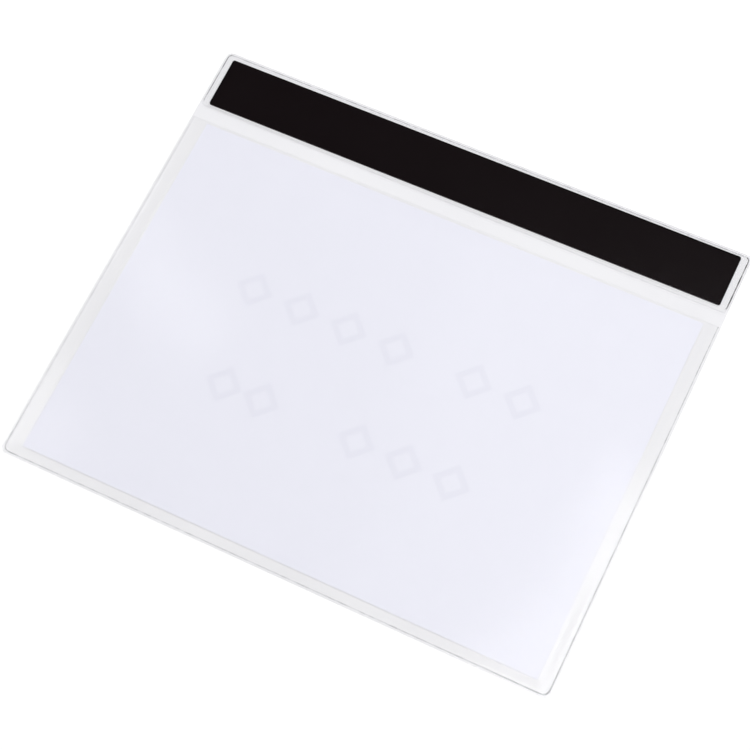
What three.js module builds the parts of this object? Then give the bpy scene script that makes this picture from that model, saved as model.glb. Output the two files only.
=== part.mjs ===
// Magnetic document pocket for one landscape sheet. It lies face down, as its back is shown.
// Lengths are in millimetres. +X runs along the magnetic strip, +Y goes from the pocket's bottom
// edge towards the strip, and +Z goes up from the table through the front film to the back.
// The origin is on the table, under the middle of the pocket.

import * as THREE from "three";

// The paper sheet in the pocket
const SHEET_WIDTH = 297;
const SHEET_HEIGHT = 210;
const SHEET_THICKNESS = 0.1;

// The three clear films: the front runs the whole height, the other two are welded to its back
const FRONT_FILM_THICKNESS = 0.3;
const BACK_FILM_THICKNESS = 0.3;
const COVER_FILM_THICKNESS = 0.3;
const POCKET_CORNER_RADIUS = 3.6;
const COMPARTMENT_CORNER_RADIUS = 4.6;

// The welded seam, from the cut edge inwards: a flat rim, a bead, the pressed groove, a bead
const RIM_WIDTH = 0.8;
const TRIMMED_RIM_WIDTH = 0.2;
const BEAD_WIDTH = 0.3;
const BEAD_HEIGHT = 0.06;
const GROOVE_WIDTH = 0.6;
const GROOVE_FILM_THICKNESS = 0.12;

// Room between the seam and the sheet, and the back film's reach beyond the sheet at the mouth
const SHEET_ROOM_LEFT = 8.2;
const SHEET_ROOM_RIGHT = 7.1;
const SHEET_ROOM_BOTTOM = 5.2;
const MOUTH_OVERLAP = 1.3;

// How closely the back film lies on the sheet, and how far it stands off at the mouth's middle
const SHEET_EDGE_GAP = 0.5;
const SHEET_CLEARANCE = 0.05;
const MOUTH_GAPE = 0.6;

// The magnetic strip, a hair out of square in its compartment
const STRIP_WIDTH = 30.4;
const STRIP_THICKNESS = 1;
const STRIP_CORNER_RADIUS = 1.2;
const STRIP_TURN_DEGREES = 0.25;
const STRIP_END_ROOM = 3.45;
const STRIP_SIDE_CLEARANCE = 0.8;
const STRIP_FIT_GAP = 0.1;

// Single film left bare between the strip's compartment and the mouth
const BAND_HEIGHT = 7.8;

// Facets of the curved stretches
const CORNER_STEPS = 6;
const SHOULDER_STEPS = 3;
const RISE_STEPS = 4;
const PANEL_COLUMNS = 16;
const PANEL_ROWS = 12;

// Widths that follow from those
const seamWidth = 2 * BEAD_WIDTH + GROOVE_WIDTH;
const weldedEdge = RIM_WIDTH + seamWidth;
const trimmedEdge = TRIMMED_RIM_WIDTH + seamWidth;
const pocketWidth = 2 * weldedEdge + SHEET_ROOM_LEFT + SHEET_WIDTH + SHEET_ROOM_RIGHT;
const stripLength = pocketWidth - 2 * (weldedEdge + STRIP_END_ROOM);
const stripTurn = THREE.MathUtils.degToRad(STRIP_TURN_DEGREES);
const stripSideRoom = STRIP_SIDE_CLEARANCE + (stripLength / 2) * Math.sin(stripTurn);
const compartmentHeight = weldedEdge + STRIP_WIDTH + 2 * stripSideRoom + trimmedEdge;
const backFilmHeight = weldedEdge + SHEET_ROOM_BOTTOM + SHEET_HEIGHT + MOUTH_OVERLAP;
const pocketHeight = backFilmHeight + BAND_HEIGHT + compartmentHeight;

// Heights above the table
const frontFilmTop = FRONT_FILM_THICKNESS;
const sheetTop = frontFilmTop + SHEET_THICKNESS;
const stripTop = frontFilmTop + STRIP_THICKNESS;

// Outlines as boxes, counted from the origin
const pocketBox = {
  left: -pocketWidth / 2,
  right: pocketWidth / 2,
  bottom: -pocketHeight / 2,
  top: pocketHeight / 2,
};
const backFilmBox = { ...pocketBox, top: pocketBox.bottom + backFilmHeight };
const compartmentBox = { ...pocketBox, bottom: pocketBox.top - compartmentHeight };
const sheetLeft = pocketBox.left + weldedEdge + SHEET_ROOM_LEFT;
const sheetBottom = pocketBox.bottom + weldedEdge + SHEET_ROOM_BOTTOM;
const sheetBox = {
  left: sheetLeft,
  right: sheetLeft + SHEET_WIDTH,
  bottom: sheetBottom,
  top: sheetBottom + SHEET_HEIGHT,
};
const stripMiddle = new THREE.Vector2(
  0,
  pocketBox.top - weldedEdge - stripSideRoom - STRIP_WIDTH / 2,
);
const stripBox = {
  left: stripMiddle.x - stripLength / 2,
  right: stripMiddle.x + stripLength / 2,
  bottom: stripMiddle.y - STRIP_WIDTH / 2,
  top: stripMiddle.y + STRIP_WIDTH / 2,
};

// A box with each side moved inwards; a negative inset moves it outwards.
function insetBox(box, inset) {
  return {
    left: box.left + inset.left,
    right: box.right - inset.right,
    bottom: box.bottom + inset.bottom,
    top: box.top - inset.top,
  };
}

function evenInset(distance) {
  return { left: distance, right: distance, bottom: distance, top: distance };
}

// Points of a quarter circle around a corner's centre, from one compass angle to the next.
function cornerArc(x, y, radius, startAngle) {
  const points = [];
  for (let i = 0; i <= CORNER_STEPS; i++) {
    const angle = startAngle + (i / CORNER_STEPS) * (Math.PI / 2);
    points.push(new THREE.Vector2(x + radius * Math.cos(angle), y + radius * Math.sin(angle)));
  }
  return points;
}

// A rounded rectangle as a closed ring, anticlockwise from its lower left corner.
function closedRing(box, lowerRadius, upperRadius) {
  const { left, right, bottom, top } = box;
  return [
    ...cornerArc(left + lowerRadius, bottom + lowerRadius, lowerRadius, Math.PI),
    ...cornerArc(right - lowerRadius, bottom + lowerRadius, lowerRadius, 1.5 * Math.PI),
    ...cornerArc(right - upperRadius, top - upperRadius, upperRadius, 0),
    ...cornerArc(left + upperRadius, top - upperRadius, upperRadius, 0.5 * Math.PI),
  ];
}

// Points from one to the other in equal steps, without the last one.
function stepsBetween(from, to, count) {
  const points = [];
  for (let i = 0; i < count; i++) {
    points.push(new THREE.Vector2().lerpVectors(from, to, i / count));
  }
  return points;
}

// The open course of a three-sided seam: down the left side, along the bottom, up the right side.
function openRing(box, radius) {
  const { left, right, bottom, top } = box;
  const leftArc = cornerArc(left + radius, bottom + radius, radius, Math.PI);
  const rightArc = cornerArc(right - radius, bottom + radius, radius, 1.5 * Math.PI);
  const leftTop = new THREE.Vector2(left, top);
  const rightTop = new THREE.Vector2(right, top);
  return [
    ...stepsBetween(leftTop, leftArc[0], PANEL_ROWS),
    ...leftArc,
    ...stepsBetween(leftArc.at(-1), rightArc[0], PANEL_COLUMNS).slice(1),
    ...rightArc,
    ...stepsBetween(rightArc.at(-1), rightTop, PANEL_ROWS).slice(1),
    rightTop,
  ];
}

function lifted(points, height) {
  return points.map((point) => new THREE.Vector3(point.x, point.y, height));
}

function turnedAbout(points, middle, angle) {
  return points.map((point) => point.clone().rotateAround(middle, angle));
}

// The seam's cross-section, cut edge first: how far in each line of it lies, and the film's height
// there above the film that it is welded to. The rim may be narrower along a trimmed edge.
function seamProfile(rimWidth, filmThickness) {
  const bead = filmThickness + BEAD_HEIGHT;
  const outerBead = rimWidth + BEAD_WIDTH / 2;
  const groove = rimWidth + BEAD_WIDTH;
  const grooveEnd = groove + GROOVE_WIDTH;
  return [
    { inset: 0, height: filmThickness },
    { inset: rimWidth, height: filmThickness },
    { inset: outerBead, height: bead },
    { inset: groove, height: GROOVE_FILM_THICKNESS },
    { inset: grooveEnd, height: GROOVE_FILM_THICKNESS },
    { inset: grooveEnd + BEAD_WIDTH / 2, height: bead },
    { inset: grooveEnd + BEAD_WIDTH, height: filmThickness },
  ];
}

// Two triangles for each cell between neighbouring rows of equal length, facing up where the rows
// run anticlockwise and each next row lies inside the one before it.
function rowTriangles(rowStarts, rowLength, isClosed) {
  const triangles = [];
  const cells = isClosed ? rowLength : rowLength - 1;
  for (let row = 0; row + 1 < rowStarts.length; row++) {
    for (let i = 0; i < cells; i++) {
      const next = (i + 1) % rowLength;
      const a = rowStarts[row] + i;
      const b = rowStarts[row] + next;
      const c = rowStarts[row + 1] + next;
      const d = rowStarts[row + 1] + i;
      triangles.push([a, b, c], [a, c, d]);
    }
  }
  return triangles;
}

// A film as one closed solid. Its lower and upper faces share one net of triangles, so point i of
// one face lies under point i of the other, and a wall closes the net's free edges.
function filmGeometry(lower, upper, triangles) {
  const firstAt = new Map();
  const sameAs = lower.map((point, i) => {
    const place = [...point.toArray(), ...upper[i].toArray()].map((v) => v.toFixed(5)).join();
    if (!firstAt.has(place)) {
      firstAt.set(place, i);
    }
    return firstAt.get(place);
  });
  const net = triangles
    .map((corners) => corners.map((corner) => sameAs[corner]))
    .filter(([a, b, c]) => a !== b && b !== c && c !== a);
  const edges = new Set();
  for (const [a, b, c] of net) {
    edges.add(`${a},${b}`);
    edges.add(`${b},${c}`);
    edges.add(`${c},${a}`);
  }
  const count = lower.length;
  const index = [];
  for (const [a, b, c] of net) {
    index.push(count + a, count + b, count + c, a, c, b);
  }
  for (const edge of edges) {
    const [a, b] = edge.split(",").map(Number);
    if (!edges.has(`${b},${a}`)) {
      index.push(a, b, count + b, a, count + b, count + a);
    }
  }
  const geometry = new THREE.BufferGeometry();
  geometry.setFromPoints([...lower, ...upper]);
  geometry.setIndex(index);
  return geometry;
}

// A flat plate with rounded corners, standing on a given height.
function plateGeometry(outline, thickness, height) {
  const shape = new THREE.Shape(outline);
  const geometry = new THREE.ExtrudeGeometry(shape, { depth: thickness, bevelEnabled: false });
  geometry.translate(0, 0, height);
  return geometry;
}

// The front film: one flat sheet of the pocket's whole outline, with rounded corners.
function frontFilmGeometry() {
  const outline = closedRing(pocketBox, POCKET_CORNER_RADIUS, POCKET_CORNER_RADIUS);
  return plateGeometry(outline, FRONT_FILM_THICKNESS, 0);
}

// The sheet of paper, flat on the front film.
function sheetGeometry() {
  const outline = [
    new THREE.Vector2(sheetBox.left, sheetBox.bottom),
    new THREE.Vector2(sheetBox.right, sheetBox.bottom),
    new THREE.Vector2(sheetBox.right, sheetBox.top),
    new THREE.Vector2(sheetBox.left, sheetBox.top),
  ];
  return plateGeometry(outline, SHEET_THICKNESS, frontFilmTop);
}

// The magnetic strip's outline grown by a given distance and turned as the strip lies.
function stripRing(growth) {
  const radius = STRIP_CORNER_RADIUS + growth;
  const ring = closedRing(insetBox(stripBox, evenInset(-growth)), radius, radius);
  return turnedAbout(ring, stripMiddle, stripTurn);
}

function stripGeometry() {
  return plateGeometry(stripRing(0), STRIP_THICKNESS, frontFilmTop);
}

// The film over the magnetic strip, welded down all round. From the seam it climbs straight to the
// strip's upper edge, rounds it at the film's own thickness, and lies flat on top of the strip.
function coverFilmGeometry() {
  const lower = [];
  const upper = [];
  const starts = [];
  const addRing = (lowerRing, lowerHeight, upperRing, upperHeight) => {
    starts.push(lower.length);
    lower.push(...lifted(lowerRing, lowerHeight));
    upper.push(...lifted(upperRing, upperHeight));
  };

  const sideSeam = seamProfile(RIM_WIDTH, COVER_FILM_THICKNESS);
  const trimmedSeam = seamProfile(TRIMMED_RIM_WIDTH, COVER_FILM_THICKNESS);
  sideSeam.forEach(({ inset, height }, i) => {
    const box = insetBox(compartmentBox, { ...evenInset(inset), bottom: trimmedSeam[i].inset });
    const upperRadius = Math.max(POCKET_CORNER_RADIUS - inset, BEAD_WIDTH);
    const lowerRadius = Math.max(COMPARTMENT_CORNER_RADIUS - inset, BEAD_WIDTH);
    const ring = closedRing(box, lowerRadius, upperRadius);
    addRing(ring, frontFilmTop, ring, frontFilmTop + height);
  });

  const shoulder = stripRing(STRIP_FIT_GAP);
  for (let i = 0; i <= SHOULDER_STEPS; i++) {
    const angle = (i / SHOULDER_STEPS) * (Math.PI / 2);
    const reach = STRIP_FIT_GAP + COVER_FILM_THICKNESS * Math.cos(angle);
    const height = stripTop + COVER_FILM_THICKNESS * Math.sin(angle);
    addRing(shoulder, stripTop, stripRing(reach), height);
  }

  const triangles = rowTriangles(starts, shoulder.length, true);
  const innermost = starts.at(-1);
  for (const face of THREE.ShapeUtils.triangulateShape(shoulder, [])) {
    triangles.push(face.map((corner) => innermost + corner));
  }
  return filmGeometry(lower, upper, triangles);
}

// The back film: welded along the left, bottom and right, and open at the mouth. From the seam it
// rises in a soft S to the sheet's edge, then lies over the sheet and gapes a little at the mouth.
function backFilmGeometry() {
  const lower = [];
  const upper = [];
  const starts = [];
  const addRow = (points, film) => {
    starts.push(lower.length);
    lower.push(...points);
    upper.push(...points.map((point) => point.clone().setZ(point.z + film)));
  };

  for (const { inset, height } of seamProfile(RIM_WIDTH, BACK_FILM_THICKNESS)) {
    const box = insetBox(backFilmBox, { ...evenInset(inset), top: 0 });
    const radius = Math.max(POCKET_CORNER_RADIUS - inset, BEAD_WIDTH);
    addRow(lifted(openRing(box, radius), frontFilmTop), height);
  }

  const seamEnd = openRing(
    insetBox(backFilmBox, { ...evenInset(weldedEdge), top: 0 }),
    Math.max(POCKET_CORNER_RADIUS - weldedEdge, BEAD_WIDTH),
  );
  const panelBox = { ...insetBox(sheetBox, evenInset(-SHEET_EDGE_GAP)), top: backFilmBox.top };
  const panelEdge = openRing(panelBox, 0);
  const panelHeight = sheetTop + SHEET_CLEARANCE;
  for (let i = 1; i <= RISE_STEPS; i++) {
    const share = i / RISE_STEPS;
    const height = frontFilmTop + (panelHeight - frontFilmTop) * share * share * (3 - 2 * share);
    const row = seamEnd.map((point, k) => point.clone().lerp(panelEdge[k], share));
    addRow(lifted(row, height), BACK_FILM_THICKNESS);
  }
  const triangles = rowTriangles(starts, panelEdge.length, false);

  const panelStarts = [];
  for (let row = 0; row <= PANEL_ROWS; row++) {
    const up = row / PANEL_ROWS;
    const y = THREE.MathUtils.lerp(panelBox.bottom, panelBox.top, up);
    const points = [];
    for (let column = 0; column <= PANEL_COLUMNS; column++) {
      const across = column / PANEL_COLUMNS;
      const x = THREE.MathUtils.lerp(panelBox.left, panelBox.right, across);
      const standOff = MOUTH_GAPE * 4 * across * (1 - across) * up * (2 - up);
      points.push(new THREE.Vector3(x, y, panelHeight + standOff));
    }
    panelStarts.push(lower.length);
    addRow(points, BACK_FILM_THICKNESS);
  }
  triangles.push(...rowTriangles(panelStarts, PANEL_COLUMNS + 1, false));
  return filmGeometry(lower, upper, triangles);
}

const clearFilm = {
  color: 0xeeeff2,
  roughness: 0.18,
  metalness: 0,
  transparent: true,
  opacity: 0.35,
};
const whitePaper = { color: 0xececf6, roughness: 0.85, metalness: 0 };
const magneticRubber = { color: 0x181214, roughness: 0.55, metalness: 0 };

function piece(name, geometry, look) {
  const mesh = new THREE.Mesh(geometry, new THREE.MeshStandardMaterial(look));
  mesh.name = name;
  return mesh;
}

const pocket = new THREE.Group();
pocket.add(
  piece("front_film", frontFilmGeometry(), clearFilm),
  piece("back_film", backFilmGeometry(), clearFilm),
  piece("strip_cover_film", coverFilmGeometry(), clearFilm),
  piece("magnetic_strip", stripGeometry(), magneticRubber),
  piece("document_sheet", sheetGeometry(), whitePaper),
);

export default pocket;
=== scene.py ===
"""Magnetic document pocket of clear film, lying face down with a paper sheet in it.

Lengths are in metres. +X runs along the magnetic strip, +Y from the pocket's bottom edge to the strip,
and +Z up from the table. Sizes named here in millimetres are multiplied by MM where they are used.
"""
import bpy
import numpy as np
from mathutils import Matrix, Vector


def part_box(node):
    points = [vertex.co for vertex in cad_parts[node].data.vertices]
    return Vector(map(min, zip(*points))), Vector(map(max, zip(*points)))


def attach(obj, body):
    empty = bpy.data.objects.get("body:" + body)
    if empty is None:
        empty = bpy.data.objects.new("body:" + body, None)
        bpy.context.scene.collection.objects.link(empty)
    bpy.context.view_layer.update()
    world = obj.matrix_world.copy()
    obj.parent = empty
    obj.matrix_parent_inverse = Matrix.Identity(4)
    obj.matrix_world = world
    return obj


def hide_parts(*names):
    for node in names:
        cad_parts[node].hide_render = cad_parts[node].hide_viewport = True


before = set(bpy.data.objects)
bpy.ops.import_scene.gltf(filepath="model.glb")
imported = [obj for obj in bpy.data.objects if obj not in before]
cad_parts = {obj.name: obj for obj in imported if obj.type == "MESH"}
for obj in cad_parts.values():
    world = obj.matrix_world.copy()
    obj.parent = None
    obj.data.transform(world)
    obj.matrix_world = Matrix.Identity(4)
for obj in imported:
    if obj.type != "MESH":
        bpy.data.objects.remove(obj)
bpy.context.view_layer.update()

# Front film: one flat sheet of clear soft film with the pocket's whole outline, die-cut with small round
# corners. The other two films are welded to its back, and the press leaves a shallow line on its face.
MM = 0.001
FILM_SKIN = 0.005
POCKET_CORNER = 3.6
WELD_LINE = 1.4
WELD_CORNER = 3.6
TRIMMED_WELD_LINE = 0.8
WELD_REACH = 1
FAR_FROM_WELD = 9
WELD_MARK_DEPTH = 0.03
WELD_MARK_WIDTH = 0.45
FINE_BAND = 2.2
FINE_STEP = 0.12
MIDDLING_BAND = 11
MIDDLING_STEP = 0.7
FRONT_STEP = 6
UNDER_STRIP_STEP = 3
SHARP_EDGE = np.radians(40)

FRONT_COVERAGE = 0.066
# The weld line's extra darkness: part weld mark, part painted shade.
FRONT_WELD_MARK_AND_SHADE = 0.012
FRONT_GLOSS_IOR = 1.6
BLUISH = (0.035, 0.018, 0.2, 1)
CLOUD_SCALE = 16.0
PATCH_SCALE = 170.0
HAZE_SCALE = 420.0
GRAIN_SCALE = 900.0
GROOVE_CORE = 0.15
GROOVE_RIM = 0.4
# Painted shade along a film's free edge: a faint dark line, with its core and rim widths in millimetres.
EDGE_INSET = 0.15
EDGE_SHADE_CORE = 0.3
EDGE_SHADE_RIM = 1.1
EDGE_SHADE_COVERAGE = 0.016
GRAZING_COVERAGE = 0.35

front_low, front_high = (np.array(corner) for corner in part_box("front_film"))
back_low, back_high = (np.array(corner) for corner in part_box("back_film"))
cover_low, cover_high = (np.array(corner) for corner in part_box("strip_cover_film"))


def ruled_lines(*stretches):
    """Sorted places of grid lines. Each stretch is (from, to, step), all in metres, and is cut into
    equal parts no longer than about its step."""
    places = [np.linspace(a, b, max(2, int(round((b - a) / step)) + 1)) for a, b, step in stretches]
    return np.unique(np.concatenate(places).round(8))


def seamed_lines(low, high, low_seam, high_seam, step):
    """Grid lines across a film: fine ones near a seamed side, then wider ones, then even steps."""
    fine, middling = FINE_STEP * MM, MIDDLING_STEP * MM
    stretches = []
    inner_low, inner_high = low, high
    if low_seam:
        inner_low = low + MIDDLING_BAND * MM
        stretches += [(low, low + FINE_BAND * MM, fine), (low + FINE_BAND * MM, inner_low, middling)]
    if high_seam:
        inner_high = high - MIDDLING_BAND * MM
        stretches += [(high - FINE_BAND * MM, high, fine), (inner_high, high - FINE_BAND * MM, middling)]
    return ruled_lines(*stretches, (inner_low, inner_high, step))


def rounded_corners(x, y, low, high, radii):
    """Rounds the corners of a grid. In the square of a corner's radius, a point keeps its larger
    distance from the arc's centre, along x or y, as its true distance, so squares become arcs.
    radii holds the lower left, lower right, upper right and upper left radius."""
    x, y = x.copy(), y.copy()
    signs = ((-1, -1), (1, -1), (1, 1), (-1, 1))
    for (sx, sy), radius in zip(signs, radii):
        if radius == 0:
            continue
        cx = (high[0] if sx > 0 else low[0]) - sx * radius
        cy = (high[1] if sy > 0 else low[1]) - sy * radius
        a, b = (x - cx) * sx, (y - cy) * sy
        inside = (a > 0) & (b > 0)
        length = np.hypot(a, b)
        length[length == 0] = 1
        share = np.where(inside, np.maximum(a, b) / length, 1)
        x = np.where(inside, cx + sx * a * share, x)
        y = np.where(inside, cy + sy * b * share, y)
    return x, y


def film_piece(name, x, y, lower, upper, seam, weld_shade):
    """A closed film from a grid: an upper and a lower surface at the same x and y, and a wall round
    them. seam is each point's distance in millimetres from the nearest weld line, minus outside it,
    and the last array is painted shade on that weld line, about 1: how much darker the line is drawn there."""
    rows, columns = x.shape
    count = rows * columns
    points = np.concatenate([np.stack([x, y, z], -1).reshape(-1, 3) for z in (upper, lower)])
    index = np.arange(count).reshape(rows, columns)
    cells = np.stack([index[:-1, :-1], index[:-1, 1:], index[1:, 1:], index[1:, :-1]], -1).reshape(-1, 4)
    rim = np.concatenate([index[0, :-1], index[:-1, -1], index[-1, :0:-1], index[:0:-1, 0]])
    following = np.roll(rim, -1)
    wall = np.stack([rim, rim + count, following + count, following], -1)
    faces = np.concatenate([cells, cells[:, ::-1] + count, wall])
    mesh = bpy.data.meshes.new(name)
    mesh.from_pydata(points.tolist(), [], faces.tolist())
    # The seam distance and the painted shade of the weld line are stored on the points for the material.
    for key, values in (("seam", seam), ("weld_shade", weld_shade)):
        attribute = mesh.attributes.new(key, "FLOAT", "POINT")
        attribute.data.foreach_set("value", np.tile(values.ravel(), 2).astype(np.float32))
    mesh.shade_smooth()
    mesh.set_sharp_from_angle(angle=SHARP_EDGE)
    piece = bpy.data.objects.new(name, mesh)
    bpy.context.scene.collection.objects.link(piece)
    return piece


def pocket_weld(x, y):
    """Signed distance in millimetres inside the pocket's three-sided weld line: the least distance
    from its sides, and in the square of a lower corner the distance from that corner's arc."""
    sides = np.minimum(x - back_low[0], back_high[0] - x) / MM - WELD_LINE
    bottom = (y - back_low[1]) / MM - WELD_LINE
    a, b = WELD_CORNER - sides, WELD_CORNER - bottom
    arc = WELD_CORNER - np.hypot(a, b)
    return np.where((a > 0) & (b > 0), arc, np.minimum(sides, bottom))


def compartment_weld(x, y):
    """Signed distance in millimetres inside the weld line that runs round the strip's compartment:
    the least distance from its four sides, of which the lower is trimmed closer to the weld."""
    sides = np.minimum(x - cover_low[0], cover_high[0] - x)
    near = np.minimum(sides, cover_high[1] - y) / MM - WELD_LINE
    return np.minimum(near, (y - cover_low[1]) / MM - TRIMMED_WELD_LINE)


class Finish:
    """The node tree of a material or a world under construction. add() makes any node: its kind, its
    settings, then the values or links of its sockets, and gives the wanted output back as a Wire."""

    def __init__(self, owner):
        owner.use_nodes = True
        self.owner = owner
        self.tree = owner.node_tree
        self.tree.nodes.clear()

    def add(self, kind, settings, inputs, output=0):
        node = self.tree.nodes.new("ShaderNode" + kind)
        for key, value in settings.items():
            setattr(node, key, value)
        for key, value in inputs.items():
            if isinstance(value, Wire):
                self.tree.links.new(value.socket, node.inputs[key])
            else:
                node.inputs[key].default_value = value
        return Wire(self, node.outputs[output])

    def object_place(self):
        return self.add("TexCoord", {}, {}, "Object")

    def noise(self, place, scale, detail=2.0, roughness=0.5):
        inputs = {"Vector": place, "Scale": scale, "Detail": detail, "Roughness": roughness}
        return self.add("TexNoise", {}, inputs, "Fac")

    def between(self, value, low, high, to_low=0.0, to_high=1.0):
        """value eased from to_low at low to to_high at high, and held outside that range."""
        inputs = {"Value": value, "From Min": low, "From Max": high, "To Min": to_low, "To Max": to_high}
        return self.add("MapRange", {"interpolation_type": "SMOOTHSTEP"}, inputs)

    def blended(self, share, first, second):
        """A colour between two. A Mix node's colours are its sockets 6 and 7, and its output 2."""
        inputs = {0: share, 6: first, 7: second}
        return self.add("Mix", {"data_type": "RGBA"}, inputs, 2)

    def close(self, shader, kind="Material"):
        output = self.tree.nodes.new("ShaderNodeOutput" + kind)
        self.tree.links.new(shader.socket, output.inputs["Surface"])
        return self.owner


class Wire:
    """A shader socket that does sums: each operator adds the Math node that it needs."""

    def __init__(self, finish, socket):
        self.finish = finish
        self.socket = socket

    def beside(self, output):
        """Another output of the same node."""
        return Wire(self.finish, self.socket.node.outputs[output])

    def math(self, operation, first, second=None):
        inputs = {0: first} if second is None else {0: first, 1: second}
        return self.finish.add("Math", {"operation": operation}, inputs)

    def __add__(self, other):
        return self.math("ADD", self, other)

    __radd__ = __add__

    def __mul__(self, other):
        return self.math("MULTIPLY", self, other)

    __rmul__ = __mul__

    def __sub__(self, other):
        return self.math("SUBTRACT", self, other)

    def __rsub__(self, other):
        return self.math("SUBTRACT", other, self)

    def __abs__(self):
        return self.math("ABSOLUTE", self)


def clear_film(name, coverage, weld_mark_and_shade, gloss_ior, tint, cut_edge=None):
    """Clear soft film. A clear skin is drawn as a thin share of a dark glossy surface over what lies
    behind it: coverage is that share, and it grows at a grazing angle. The skin's reflectance is
    raised to make up for the small share. The pressed groove of a weld is a duller skin with a
    further share added, in patches: a dark weld line that is partly painted shade, made darker or
    fainter point by point by the painted weld shade stored on the mesh. cut_edge is the place along Y
    of a free edge, along which a faint line of painted shade is drawn."""
    film = Finish(bpy.data.materials.new(name))
    place = film.object_place()
    clouds = film.noise(place, CLOUD_SCALE, 3.0)
    haze = film.noise(place, HAZE_SCALE)
    grain = film.noise(place, GRAIN_SCALE)
    bump = film.add("Bump", {}, {"Strength": 0.05, "Distance": 0.0001, "Height": grain})
    facing = film.add("LayerWeight", {}, {"Blend": 0.35}, "Facing")
    share = coverage * (0.8 + 0.4 * clouds) + GRAZING_COVERAGE * facing * facing * facing
    # Painted shade: a faint dark line drawn along the film's free upper edge.
    if cut_edge is not None:
        upward = film.add("SeparateXYZ", {}, {"Vector": place}, "Y")
        from_edge = abs(upward - (cut_edge - EDGE_INSET * MM))
        edge_shade = film.between(from_edge, EDGE_SHADE_CORE * MM, EDGE_SHADE_RIM * MM, 1.0, 0.0)
        share = share + EDGE_SHADE_COVERAGE * edge_shade
    skin = film.add("BsdfPrincipled", {}, {
        "Base Color": tint,
        "Roughness": 0.06 + 0.07 * clouds + 0.03 * haze,
        "IOR": gloss_ior,
        "Specular IOR Level": 1.0,
        "Alpha": share,
        "Normal": bump,
    })
    seam = film.add("Attribute", {"attribute_name": "seam"}, {}, "Fac")
    # Painted shade on the weld line: each point's value makes the dark line stronger or fainter.
    weld_shade = film.add("Attribute", {"attribute_name": "weld_shade"}, {}, "Fac")
    groove = film.between(abs(seam), GROOVE_CORE, GROOVE_RIM, 1.0, 0.0)
    patches = film.between(film.noise(place, PATCH_SCALE, 3.0, 0.6), 0.3, 0.7, 0.35, 1.75)
    # The weld groove's dark line: part weld mark, part painted shade, in patches.
    groove_skin_and_shade = film.add("BsdfPrincipled", {}, {
        "Base Color": tint,
        "Roughness": 0.3 + 0.2 * haze,
        "Alpha": share + weld_mark_and_shade * weld_shade * patches,
        "Normal": bump,
    })
    return film.close(film.add("MixShader", {}, {0: groove, 1: skin, 2: groove_skin_and_shade}))


x_lines = seamed_lines(front_low[0], front_high[0], True, True, FRONT_STEP * MM)
y_lines = ruled_lines(
    (front_low[1], front_low[1] + FINE_BAND * MM, FINE_STEP * MM),
    (front_low[1] + FINE_BAND * MM, cover_low[1], FRONT_STEP * MM),
    (cover_low[1], cover_low[1] + FINE_BAND * MM, FINE_STEP * MM),
    (cover_low[1] + FINE_BAND * MM, front_high[1] - FINE_BAND * MM, UNDER_STRIP_STEP * MM),
    (front_high[1] - FINE_BAND * MM, front_high[1], FINE_STEP * MM),
)
square_x, square_y = np.meshgrid(x_lines, y_lines)
in_pocket = square_y < back_high[1]
in_compartment = square_y > cover_low[1] - WELD_REACH * MM
x, y = rounded_corners(square_x, square_y, front_low, front_high, [POCKET_CORNER * MM] * 4)
seam = np.where(in_pocket, pocket_weld(x, y), FAR_FROM_WELD)
seam = np.where(in_compartment, compartment_weld(square_x, square_y), seam)
mark = WELD_MARK_DEPTH * MM * np.exp(-((seam / WELD_MARK_WIDTH) ** 2))
top = np.full_like(x, front_high[2] - FILM_SKIN * MM)
front_film = film_piece("front_film_skin", x, y, front_low[2] + mark, top, seam, np.ones_like(x))
front_film.data.materials.append(
    clear_film("clear_front_film", FRONT_COVERAGE, FRONT_WELD_MARK_AND_SHADE, FRONT_GLOSS_IOR, BLUISH))
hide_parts("front_film")
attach(front_film, "root")

# Back film: the pocket's other wall, of the same film. It is welded down along the left, bottom and
# right, rises softly to the sheet's edge and over it, and gapes a little at its free upper edge.
BACK_STEP = 2.6
SEAM_INNER_EDGE = 2.0
GROOVE_FILM = 0.14
GROOVE_HALF = 0.34
GROOVE_EDGE = 0.24
BEAD_HEIGHT = 0.055
BEAD_WIDTH = 0.17
BEAD_PLACE = 0.52
RIGHT_JOINT = -98.7
LEFT_JOINT = -1.4
JOINT_WIDENING = 0.75
JOINT_LENGTH = 0.4
JOINT_REACH = 1.5
JOINT_STEP = 0.25
SHEET_CLEARANCE = 0.04
MOUTH_GAPE = 0.6
MOUTH_CALM = 0.5
RIPPLE = 0.22
RIPPLE_SEED = 5
RIPPLE_WAVES = 14
SHORTEST_RIPPLE = 30
LONGEST_RIPPLE = 150
RIPPLE_HEADING = -0.35
RIPPLE_SPREAD = 0.5
# Painted shade on the pocket's weld line: how much darker it is drawn on the right, on the left, along the
# bottom run and towards each lower corner.
RIGHT_WELD_SHADE = 1.6
LEFT_WELD_SHADE = 0.6
BOTTOM_WELD_SHADE = 1.5
BOTTOM_RUN = 6
RIGHT_CORNER_WELD_SHADE = 2.2
LEFT_CORNER_WELD_SHADE = 1.4
CORNER_WELD_SHADE_REACH = 18
BACK_COVERAGE = 0.012
BACK_WELD_MARK_AND_SHADE = 0.05
BACK_GLOSS_IOR = 4.0
NEUTRAL = (0.01, 0.01, 0.012, 1)

sheet_low, sheet_high = (np.array(corner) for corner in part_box("document_sheet"))


def eased(share):
    """A share from 0 to 1 with level ends: three times its square less twice its cube."""
    return share * share * (3 - 2 * share)


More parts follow.
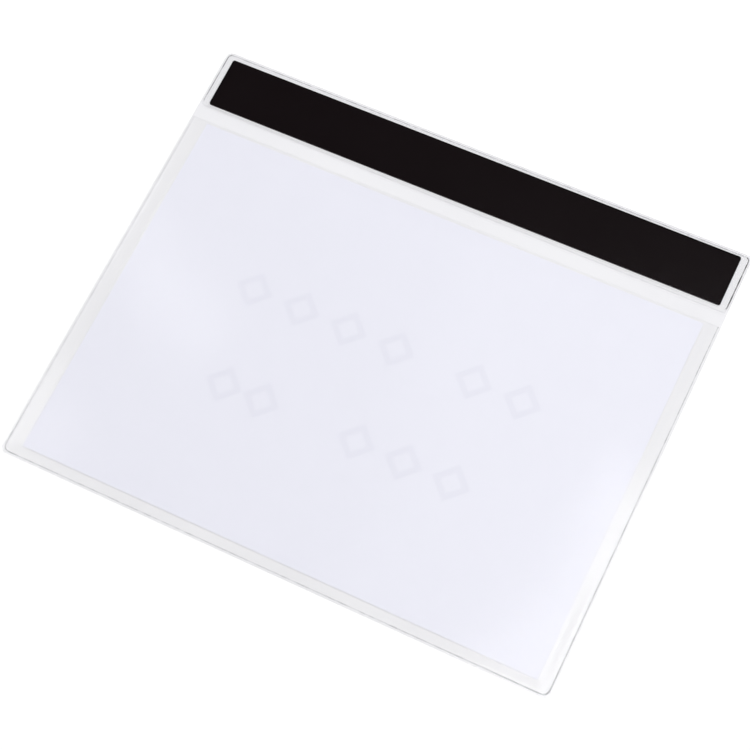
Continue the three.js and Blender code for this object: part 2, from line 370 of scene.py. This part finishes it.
def weld_thickness(seam, film):
    """Film height in metres across a weld, by distance from its line: pressed thin in the groove, with
    a rounded bead on each side of it."""
    bead = np.exp(-(((np.abs(seam) - BEAD_PLACE) / BEAD_WIDTH) ** 2)) * BEAD_HEIGHT * MM
    groove = np.clip((GROOVE_HALF + GROOVE_EDGE / 2 - np.abs(seam)) / GROOVE_EDGE, 0, 1)
    return film + bead - eased(groove) * (film - GROOVE_FILM * MM)


def rule_joint(seam, along, place):
    """Widens a weld at a place along it, where two welding rules met. Near that place on the line, the
    distance from the line shrinks to a quarter, and the change fades away like a bell."""
    near = np.exp(-((along - place) / (JOINT_LENGTH * MM)) ** 2 - (seam / JOINT_REACH) ** 2)
    return seam * (1 - JOINT_WIDENING * near)


def joint_lines(place):
    """Fine grid lines across a mark in the weld."""
    return ruled_lines(((place - JOINT_REACH) * MM, (place + JOINT_REACH) * MM, JOINT_STEP * MM))


def outside_of(x, y, middle, half, turn=0.0):
    """Distance from a turned rectangle, nought inside it."""
    dx, dy = x - middle[0], y - middle[1]
    along = dx * np.cos(turn) + dy * np.sin(turn)
    across = dy * np.cos(turn) - dx * np.sin(turn)
    return np.hypot(np.maximum(np.abs(along) - half[0], 0), np.maximum(np.abs(across) - half[1], 0))


def ripples(x, y):
    """A soft field from -1 to 1: plane waves of several lengths, each as high as it is long, added up
    and scaled. Most of them run nearly along X, so their crests lie from the mouth to the bottom."""
    draw = np.random.default_rng(RIPPLE_SEED)
    field = np.zeros_like(x)
    for _ in range(RIPPLE_WAVES):
        length = draw.uniform(SHORTEST_RIPPLE, LONGEST_RIPPLE) * MM
        heading = draw.normal(RIPPLE_HEADING, RIPPLE_SPREAD)
        phase = draw.uniform(0, 2 * np.pi)
        run = x * np.cos(heading) + y * np.sin(heading)
        field += length * np.sin(2 * np.pi * run / length + phase)
    return field / np.abs(field).max()


x_lines = seamed_lines(back_low[0], back_high[0], True, True, BACK_STEP * MM)
y_lines = seamed_lines(back_low[1], back_high[1], True, False, BACK_STEP * MM)
y_lines = np.unique(np.concatenate([y_lines, joint_lines(LEFT_JOINT), joint_lines(RIGHT_JOINT)]))
square_x, square_y = np.meshgrid(x_lines, y_lines)
corners = (POCKET_CORNER * MM, POCKET_CORNER * MM, 0, 0)
x, y = rounded_corners(square_x, square_y, back_low, back_high, corners)
on_right = square_x > 0
from_bottom = square_y - back_low[1]
seam = pocket_weld(x, y)
right_seam = rule_joint(seam, square_y, RIGHT_JOINT * MM)
seam = np.where(on_right, right_seam, rule_joint(seam, square_y, LEFT_JOINT * MM))
# Painted shade along the weld: darker on the right and along the bottom, fainter on the left, darkest near
# the lower corners.
weld_shade = np.where(on_right, RIGHT_WELD_SHADE, LEFT_WELD_SHADE)
weld_shade = np.where(from_bottom < BOTTOM_RUN * MM, BOTTOM_WELD_SHADE, weld_shade)
from_corner = np.hypot(np.abs(square_x) - back_high[0], from_bottom)
at_corner = np.exp(-from_corner / (CORNER_WELD_SHADE_REACH * MM))
weld_shade = weld_shade + np.where(on_right, RIGHT_CORNER_WELD_SHADE, LEFT_CORNER_WELD_SHADE) * at_corner
film = front_high[2]
inward = np.maximum(seam + WELD_LINE - SEAM_INNER_EDGE, 0) * MM
sheet_middle = (sheet_low + sheet_high) / 2
sheet_half = (sheet_high - sheet_low) / 2
outward = outside_of(square_x, np.minimum(square_y, sheet_middle[1]), sheet_middle, sheet_half)
rise = eased(inward / (inward + outward + 1e-9))
across = np.clip((square_x - sheet_low[0]) / (sheet_high[0] - sheet_low[0]), 0, 1)
upward = np.clip((square_y - sheet_low[1]) / (back_high[1] - sheet_low[1]), 0, 1)
gape_share = 4 * across * (1 - across) * upward * (2 - upward)
loose = RIPPLE * MM * (1 + ripples(square_x, square_y)) * rise * (1 - MOUTH_CALM * gape_share)
lift = rise * (sheet_high[2] - film + SHEET_CLEARANCE * MM) + MOUTH_GAPE * MM * gape_share + loose
under = film + FILM_SKIN * MM + lift
back_film = film_piece("back_film_skin", x, y, under, under + weld_thickness(seam, film), seam, weld_shade)
back_film.data.materials.append(clear_film(
    "clear_back_film", BACK_COVERAGE, BACK_WELD_MARK_AND_SHADE, BACK_GLOSS_IOR, NEUTRAL, back_high[1]))
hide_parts("back_film")
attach(back_film, "root")

# Strip cover film: a long narrow piece of the same film, welded down all round over the magnetic strip.
# It stands like a low tent from the weld to the strip's edges and lies flat on the strip's top.
STRIP_LENGTH = 305.4
STRIP_WIDTH = 30.4
STRIP_TURN = np.radians(0.25)
SHOULDER = 0.3
TENT_CURVE = 1.3
COMPARTMENT_CORNER = 4.6
END_SLOPE = 6.4
END_SLOPE_STEP = 0.2
ALONG_STEP = 3
LOWER_SLOPE = 4.4
UPPER_SLOPE = 5
SLOPE_STEP = 0.1
ACROSS_STEP = 2
TOP_JOINT = 121.7
# Painted shade on the compartment's weld line: darkest at the right end, fainter at the left end, nearly gone
# along the lower run beside the strip.
TOP_WELD_SHADE = 1.5
LEFT_END_WELD_SHADE = 3.2
RIGHT_END_WELD_SHADE = 9.0
LOWER_RUN_WELD_SHADE = 0.2
WELD_SHADE_RUN = 3
COVER_COVERAGE = 0.016
COVER_WELD_MARK_AND_SHADE = 0.06
COVER_GLOSS_IOR = 2.5

strip_low, strip_high = (np.array(corner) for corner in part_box("magnetic_strip"))
strip_middle = (strip_low + strip_high) / 2
strip_half = np.array([STRIP_LENGTH, STRIP_WIDTH]) / 2 * MM

x_lines = ruled_lines(
    (cover_low[0], cover_low[0] + FINE_BAND * MM, FINE_STEP * MM),
    (cover_low[0] + FINE_BAND * MM, cover_low[0] + END_SLOPE * MM, END_SLOPE_STEP * MM),
    (cover_low[0] + END_SLOPE * MM, cover_high[0] - END_SLOPE * MM, ALONG_STEP * MM),
    (cover_high[0] - END_SLOPE * MM, cover_high[0] - FINE_BAND * MM, END_SLOPE_STEP * MM),
    (cover_high[0] - FINE_BAND * MM, cover_high[0], FINE_STEP * MM),
)
x_lines = np.unique(np.concatenate([x_lines, joint_lines(TOP_JOINT)]))
y_lines = ruled_lines(
    (cover_low[1], cover_low[1] + LOWER_SLOPE * MM, SLOPE_STEP * MM),
    (cover_low[1] + LOWER_SLOPE * MM, cover_high[1] - UPPER_SLOPE * MM, ACROSS_STEP * MM),
    (cover_high[1] - UPPER_SLOPE * MM, cover_high[1], SLOPE_STEP * MM),
)
square_x, square_y = np.meshgrid(x_lines, y_lines)
corners = np.array([COMPARTMENT_CORNER, COMPARTMENT_CORNER, POCKET_CORNER, POCKET_CORNER]) * MM
x, y = rounded_corners(square_x, square_y, cover_low, cover_high, corners)
seam = compartment_weld(square_x, square_y)
top_seam = rule_joint(seam, square_x, TOP_JOINT * MM)
seam = np.where(square_y > strip_middle[1], top_seam, seam)
# Painted shade along the compartment's weld: darkest at the right end, fainter at the left end, nearly gone
# along the lower run.
weld_shade = np.where(square_x - cover_low[0] < WELD_SHADE_RUN * MM, LEFT_END_WELD_SHADE, TOP_WELD_SHADE)
weld_shade = np.where(cover_high[0] - square_x < WELD_SHADE_RUN * MM, RIGHT_END_WELD_SHADE, weld_shade)
weld_shade = np.where(square_y - cover_low[1] < WELD_SHADE_RUN * MM, LOWER_RUN_WELD_SHADE, weld_shade)
inward = np.maximum(seam - (SEAM_INNER_EDGE - WELD_LINE), 0) * MM
outward = np.maximum(outside_of(x, y, strip_middle, strip_half, STRIP_TURN) - SHOULDER * MM, 0)
climb = np.clip(inward / (inward + outward + 1e-9), 0, 1)
climb = np.sin(climb * np.pi / 2) ** TENT_CURVE
top = film + weld_thickness(seam, film) + climb * (cover_high[2] - 2 * film)
top = np.minimum(top, cover_high[2])
under = np.maximum(top - film, film + FILM_SKIN * MM)
strip_cover_film = film_piece("strip_cover_film_skin", x, y, under, top, seam, weld_shade)
strip_cover_film.data.materials.append(
    clear_film("clear_cover_film", COVER_COVERAGE, COVER_WELD_MARK_AND_SHADE, COVER_GLOSS_IOR, NEUTRAL))
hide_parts("strip_cover_film")
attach(strip_cover_film, "root")

# Magnetic strip: black rubber filled with magnetic powder, rolled smooth and cut to length. Its brown
# black is nearly matt, with a very fine grain.
RUBBER_GRAIN_SCALE = 1800.0
RUBBER_MOTTLE_SCALE = 30.0
RUBBER_DARK = (0.0034, 0.0013, 0.0019, 1)
RUBBER_LIGHT = (0.0048, 0.0024, 0.0031, 1)

rubber = Finish(bpy.data.materials.new("black_magnetic_rubber"))
place = rubber.object_place()
grain = rubber.noise(place, RUBBER_GRAIN_SCALE, 3.0)
mottle = rubber.noise(place, RUBBER_MOTTLE_SCALE, 3.0)
magnetic_strip = rubber.add("BsdfPrincipled", {}, {
    "Base Color": rubber.blended(mottle, RUBBER_DARK, RUBBER_LIGHT),
    "Roughness": 0.45 + 0.15 * mottle,
    "Specular IOR Level": 0.05,
    "Normal": rubber.add("Bump", {}, {"Strength": 0.2, "Distance": 0.00005, "Height": grain}),
})
strip_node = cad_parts["magnetic_strip"]
strip_node.data.materials.clear()
strip_node.data.materials.append(rubber.close(magnetic_strip))

# Document sheet: one landscape sheet of bluish-white office paper. Its printed side faces the front
# film, and the print shows through to this side as two faint rows of plain shapes.
DIAMOND_ROWS = ((-91, 22, 6.2, 4), (39, 95, 6.2, 2), (-78, -33, -49.3, 2), (-2, 80, -49.3, 3))
DIAMOND_REACH = 8.6
STROKE = 1.8
STROKE_EDGE = 1.2
ROW_EDGE = 0.01
FIBRE_SCALE = 700.0
FLOCK_SCALE = 90.0
PAPER_DEEP = (0.84, 0.842, 0.924, 1)
PAPER_PALE = (0.858, 0.86, 0.94, 1)
PAPER_FIBRE = (0.83, 0.83, 0.91, 1)
SHOWN_THROUGH = (0.78, 0.78, 0.87, 1)
INK = (0.02, 0.02, 0.022, 1)

paper = Finish(bpy.data.materials.new("bluish_white_paper"))
place = paper.object_place()
across = paper.add("SeparateXYZ", {}, {"Vector": place}, "X")
upward = across.beside("Y")
fibres = paper.noise(place, FIBRE_SCALE, 4.0, 0.65)
flocks = paper.noise(place, FLOCK_SCALE, 3.0)
facing_up = paper.add("SeparateXYZ", {}, {"Vector": paper.add("NewGeometry", {}, {}, "Normal")}, "Z")
printed_side = paper.between(facing_up, -0.6, -0.4, 1.0, 0.0)

# Each row of diamonds has a left and a right end, a middle line and a count. A diamond's outline is
# where the distances from its middle, across and upward, add up to its reach.
printed = 0.0
for left, right, middle, count in DIAMOND_ROWS:
    pitch = (right - left) / count * MM
    half = (right - left) / 2 * MM
    from_middle = abs(across - (left + right) / 2 * MM)
    in_row = paper.between(from_middle, half, half + ROW_EDGE * MM, 1.0, 0.0)
    from_first = across - (left * MM + pitch / 2)
    swing = from_first.math("PINGPONG", from_first, pitch / 2)
    outline = abs(swing + abs(upward - middle * MM) - DIAMOND_REACH * MM)
    stroke = paper.between(outline, STROKE * MM, (STROKE + STROKE_EDGE) * MM, 1.0, 0.0)
    printed = printed + in_row * stroke

plain = paper.blended(fibres * 0.12, paper.blended(flocks, PAPER_DEEP, PAPER_PALE), PAPER_FIBRE)
ink = paper.blended(printed_side, SHOWN_THROUGH, INK)
ink_share = printed * (0.5 + 0.48 * printed_side)
sheet_surface = paper.add("BsdfPrincipled", {}, {
    "Base Color": paper.blended(ink_share, plain, ink),
    "Roughness": 0.8 + 0.1 * flocks,
    "Specular IOR Level": 0.3,
    "Normal": paper.add("Bump", {}, {"Strength": 0.15, "Distance": 0.00004, "Height": fibres}),
})
sheet_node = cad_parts["document_sheet"]
sheet_node.data.materials.clear()
sheet_node.data.materials.append(paper.close(sheet_surface))

# Floor: the plain white surface that the pocket lies on. To the camera, and in what reflects or passes
# on its view, it is lifted to white, and it keeps the pocket's shadow.
FLOOR_HALF = 3.0
FLOOR_DROP = 0.05
FLOOR_TONE = (0.5, 0.5, 0.5, 1)
FLOOR_LIFT = 0.56
FAR_FLOOR_LIFT = 1.0
NEAR_FLOOR = 0.5
FAR_FLOOR = 1.6

floor_mesh = bpy.data.meshes.new("floor")
floor_mesh.from_pydata(
    [(sx * FLOOR_HALF, sy * FLOOR_HALF, -FLOOR_DROP * MM) for sx, sy in ((-1, -1), (1, -1), (1, 1), (-1, 1))],
    [], [(0, 1, 2, 3)])
floor = bpy.data.objects.new("floor", floor_mesh)
bpy.context.scene.collection.objects.link(floor)
ground = Finish(bpy.data.materials.new("white_floor"))
camera_ray = ground.add("LightPath", {}, {}, "Is Camera Ray")
rays = camera_ray + camera_ray.beside("Is Glossy Ray") + camera_ray.beside("Is Transmission Ray")
seen = ground.between(rays, 0.0, 1.0)
away = ground.add("VectorMath", {"operation": "LENGTH"}, {0: ground.object_place()}, "Value")
floor_mesh.materials.append(ground.close(ground.add("BsdfPrincipled", {}, {
    "Base Color": FLOOR_TONE,
    "Roughness": 0.9,
    "Specular IOR Level": 0.0,
    "Emission Color": seen * ground.between(away, NEAR_FLOOR, FAR_FLOOR, FLOOR_LIFT, FAR_FLOOR_LIFT),
    "Emission Strength": 1.0,
})))

# Light: a large soft lamp on each side of the pocket, out of the camera's mirror direction. Four faint
# ones stand in that direction and show as gloss in the film. The world is even, brighter low down.
HORIZON_LEVEL = 0.72
ZENITH_LEVEL = 0.08
ZENITH_HEIGHT = 0.5


def softbox(name, place, size, power):
    """A rectangular area lamp at a place, facing the middle of the pocket."""
    lamp = bpy.data.lights.new(name, "AREA")
    lamp.shape = "RECTANGLE"
    lamp.size, lamp.size_y = size
    lamp.energy = power
    holder = bpy.data.objects.new(name, lamp)
    bpy.context.scene.collection.objects.link(holder)
    holder.location = place
    toward = -holder.location
    holder.rotation_euler = toward.to_track_quat("-Z", "Y").to_euler()


softbox("right_softbox", (1.6, 0.1, 1.9), (1.2, 1.2), 17.5)
softbox("left_softbox", (-1.8, -0.2, 1.8), (1.2, 1.2), 12)
softbox("far_softbox", (0.6, 1.7, 1.9), (1.2, 1.2), 27.5)
softbox("front_softbox", (0.1, -1.6, 1.9), (1.2, 1.2), 12.5)
softbox("corner_gloss", (0.072, 0.263, 1.6), (0.31, 0.47), 2.3)
softbox("right_veil", (-0.04, 0.38, 1.62), (0.55, 0.8), 1.3)
softbox("margin_gloss", (-0.81, 0.573, 1.6), (0.08, 0.34), 0.28)
softbox("low_margin_gloss", (-0.9, 0.27, 1.6), (0.12, 0.26), 0.4)
world = bpy.data.worlds.new("plain_studio")
bpy.context.scene.world = world
studio = Finish(world)
height = studio.add("SeparateXYZ", {}, {"Vector": studio.add("TexCoord", {}, {}, "Generated")}, "Z")
level = studio.between(height, 0.0, ZENITH_HEIGHT, HORIZON_LEVEL, ZENITH_LEVEL)
studio.close(studio.add("Background", {}, {"Color": level, "Strength": 1.0}), "World")

# Camera: a long lens above the pocket's lower right, tilted so that the strip runs down to the right.
LENS = 99.45
CAMERA_PLACE = (256.0, -344.6, 1007.5)
CAMERA_TURN = (22.079, 4.524, 26.092)

lens = bpy.data.cameras.new("camera")
lens.lens = LENS
camera = bpy.data.objects.new("camera", lens)
bpy.context.scene.collection.objects.link(camera)
camera.location = np.array(CAMERA_PLACE) * MM
camera.rotation_euler = np.radians(CAMERA_TURN)
bpy.context.scene.camera = camera
bpy.context.scene.view_settings.view_transform = "Standard"
